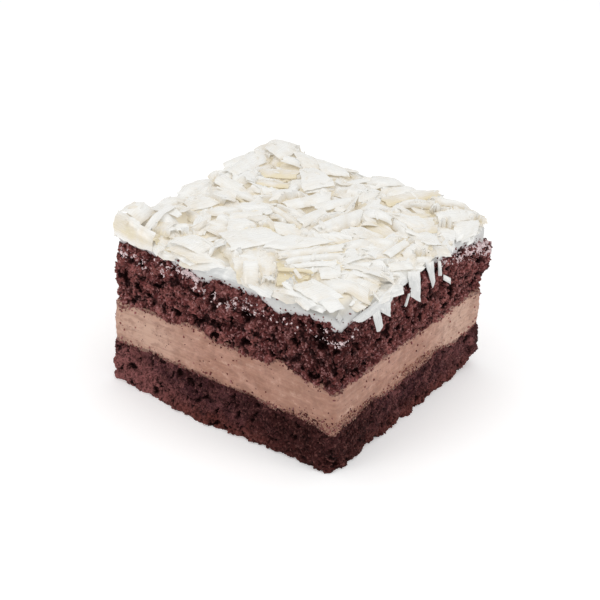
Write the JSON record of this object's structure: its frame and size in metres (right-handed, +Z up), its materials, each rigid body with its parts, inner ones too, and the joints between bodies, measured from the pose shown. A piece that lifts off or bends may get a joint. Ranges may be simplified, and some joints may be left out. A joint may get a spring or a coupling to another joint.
{
  "type": "opera cake",
  "caption": "Cut square of opera cake: cocoa sponges with chocolate cream between them, white cream and white chocolate shavings on top.",
  "frame": {"origin": "middle of the footprint, on the surface that the cake stands on", "axes": "+Z up through the layers; the corner that the picture shows in front points to +X and -Y"},
  "size_m": [0.0748, 0.0758, 0.0511],
  "materials": {
    "cocoa_sponge": "open, moist cocoa crumb, dark red-brown, matt",
    "chocolate_cream": "smooth whipped chocolate cream, knife-dragged, satin",
    "white_cream": "white cream under ivory white chocolate shavings, satin"
  },
  "bodies": {
    "root": {"lower_sponge": "cocoa_sponge", "chocolate_cream": "chocolate_cream", "upper_sponge": "cocoa_sponge", "white_cream": "white_cream"}
  },
  "joints": []
}
